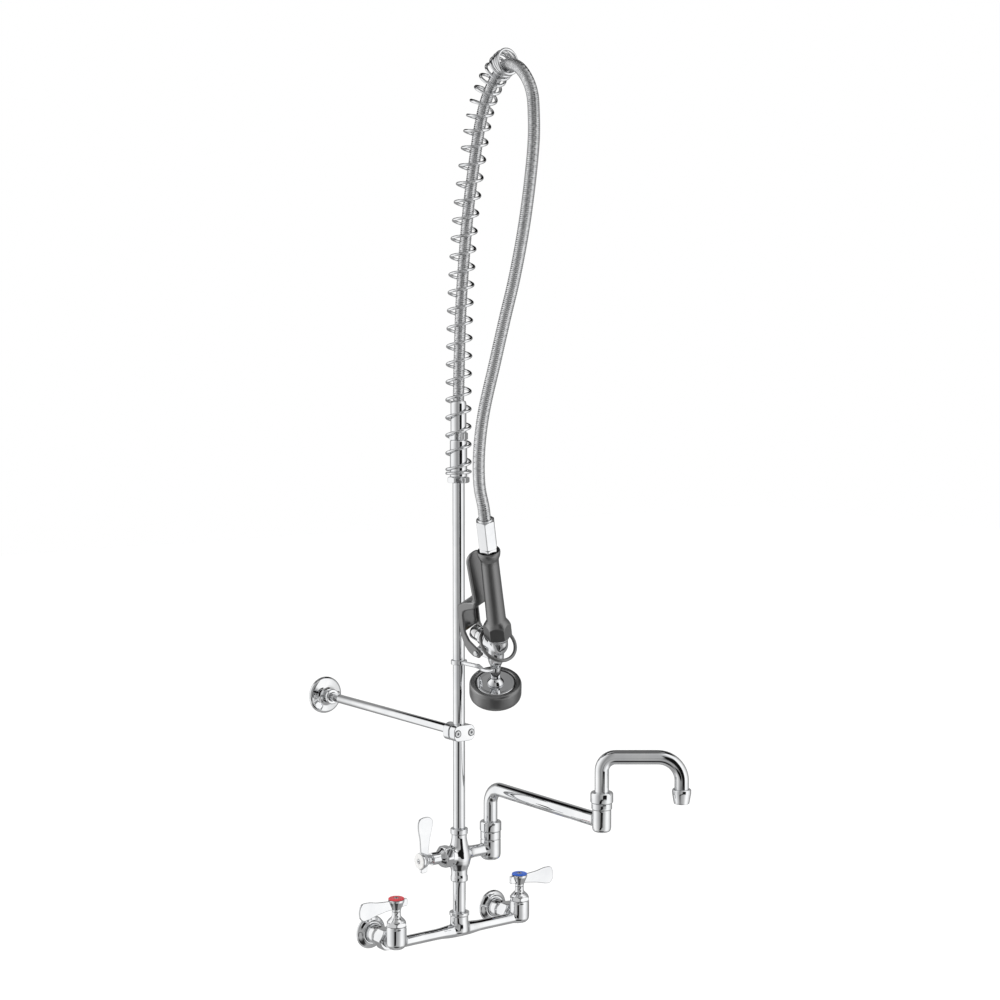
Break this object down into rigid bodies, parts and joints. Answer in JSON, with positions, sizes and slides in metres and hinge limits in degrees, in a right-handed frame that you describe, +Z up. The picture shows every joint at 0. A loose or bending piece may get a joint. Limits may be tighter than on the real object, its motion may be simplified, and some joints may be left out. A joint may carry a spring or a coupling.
{
  "type": "pre rinse faucet",
  "caption": "Wall-mounted pre-rinse faucet with lever valves, a tall riser with an overhead spring and hose, a squeeze spray valve on a hook, and a jointed swing spout.",
  "frame": {"origin": "the wall plane behind the inlet flanges, midway between the two inlets, at the height of their centre line", "axes": "+X towards the cold valve, +Y into the wall, +Z up along the riser"},
  "size_m": [0.3202, 0.6538, 1.182],
  "materials": {
    "chrome_plate": "polished chrome plate",
    "bright_steel": "bright turned stainless steel",
    "stainless_hose": "ribbed stainless hose",
    "bare_brass": "bare machined brass",
    "grey_grip": "dark grey satin grip coating",
    "index_red": "glossy",
    "index_blue": "glossy",
    "index_plain": "glossy"
  },
  "bodies": {
    "faucet_body": {"mixing_body": "chrome_plate", "hot_coupling_nut": "chrome_plate", "hot_inlet_shank": "chrome_plate", "hot_inlet_flange": "chrome_plate", "cold_coupling_nut": "chrome_plate", "cold_inlet_shank": "chrome_plate", "cold_inlet_flange": "chrome_plate", "hot_bonnet_nut": "chrome_plate", "cold_bonnet_nut": "chrome_plate", "lower_nipple": "chrome_plate", "addon_body": "chrome_plate", "addon_bonnet_nut": "chrome_plate", "spout_nut": "chrome_plate", "riser_pipe": "chrome_plate", "riser_top_nut": "chrome_plate", "hose_adapter": "chrome_plate", "hose_ferrule_top": "chrome_plate", "bracket_clamp_front": "chrome_plate", "bracket_clamp_rear": "chrome_plate", "clamp_screw_left": "bright_steel", "clamp_screw_right": "bright_steel", "bracket_rod": "chrome_plate", "bracket_flange": "chrome_plate", "bracket_flange_screw_left": "bright_steel", "bracket_flange_screw_right": "bright_steel", "spray_hook": "chrome_plate", "hose": "stainless_hose", "overhead_spring": "chrome_plate"},
    "hot_handle": {"hot_lever": "chrome_plate", "hot_valve_stem": "bare_brass", "hot_index_ring": "index_red", "hot_lever_screw": "bright_steel"},
    "cold_handle": {"cold_lever": "chrome_plate", "cold_valve_stem": "bare_brass", "cold_index_ring": "index_blue", "cold_lever_screw": "bright_steel"},
    "addon_handle": {"addon_lever": "chrome_plate", "addon_valve_stem": "bare_brass", "addon_index_ring": "index_plain", "addon_lever_screw": "bright_steel"},
    "first_spout": {"spout_arm": "chrome_plate", "spout_end_nut": "chrome_plate"},
    "second_spout": {"spout_end": "chrome_plate", "aerator_housing": "chrome_plate", "aerator_screen": "bright_steel"},
    "spray_valve": {"spray_hose_ferrule": "chrome_plate", "spray_swivel_nut": "chrome_plate", "handle_tube": "bare_brass", "handle_grip": "grey_grip", "spray_body": "chrome_plate", "spray_bonnet": "chrome_plate", "lever_pivot_screw": "bright_steel", "spray_head_plate": "chrome_plate", "spray_bumper": "grey_grip", "spray_face": "bright_steel", "spray_face_screw": "bright_steel"},
    "spray_lever": {"squeeze_lever": "grey_grip"},
    "spray_stem": {"spray_plunger": "bare_brass"},
    "hold_down_ring": {"hold_ring": "grey_grip"}
  },
  "joints": [
    {"name": "hot_lever_turn", "type": "hinge", "parent": "faucet_body", "child": "hot_handle", "pos_m": [-0.1016, -0.064, 0.05], "axis": [0, 0, 1], "range_deg": [0, 90]},
    {"name": "cold_lever_turn", "type": "hinge", "parent": "faucet_body", "child": "cold_handle", "pos_m": [0.1016, -0.064, 0.05], "axis": [0, 0, 1], "range_deg": [-90, 0]},
    {"name": "addon_lever_turn", "type": "hinge", "parent": "faucet_body", "child": "addon_handle", "pos_m": [-0.055, -0.064, 0.104], "axis": [1, 0, 0], "range_deg": [0, 90]},
    {"name": "spout_swing", "type": "hinge", "parent": "faucet_body", "child": "first_spout", "pos_m": [0.0523, -0.064, 0.12], "axis": [0, 0, 1], "range_deg": [-64, 90]},
    {"name": "spout_end_swing", "type": "hinge", "parent": "first_spout", "child": "second_spout", "pos_m": [0.0523, -0.301, 0.2], "axis": [0, 0, 1], "continuous": true},
    {"name": "spray_valve_unhook", "type": "slide", "parent": "faucet_body", "child": "spray_valve", "axis": [0, -0.9988, -0.0499], "range_m": [0, 0.1], "deforming": ["hose"]},
    {"name": "spray_lever_squeeze", "type": "hinge", "parent": "spray_valve", "child": "spray_lever", "pos_m": [-0.01228, -0.13842, 0.39439], "axis": [0.9175, 0.1468, 0.3698], "range_deg": [0, 4.2], "stiffness_Nm_per_rad": 12, "springref_deg": -5.73},
    {"name": "spray_stem_push", "type": "slide", "parent": "spray_valve", "child": "spray_stem", "axis": [0.2943, -0.8759, -0.3825], "range_m": [0, 0.0016]},
    {"name": "hold_ring_swing", "type": "hinge", "parent": "spray_valve", "child": "hold_down_ring", "pos_m": [-0.0114, -0.1673, 0.4033], "axis": [0.9908, -0.1356, 0], "range_deg": [-1.4, 1]}
  ],
  "couplings": [
    {"joint": "spray_stem_push", "follows": "spray_lever_squeeze", "m_per_rad": 0.0188}
  ]
}
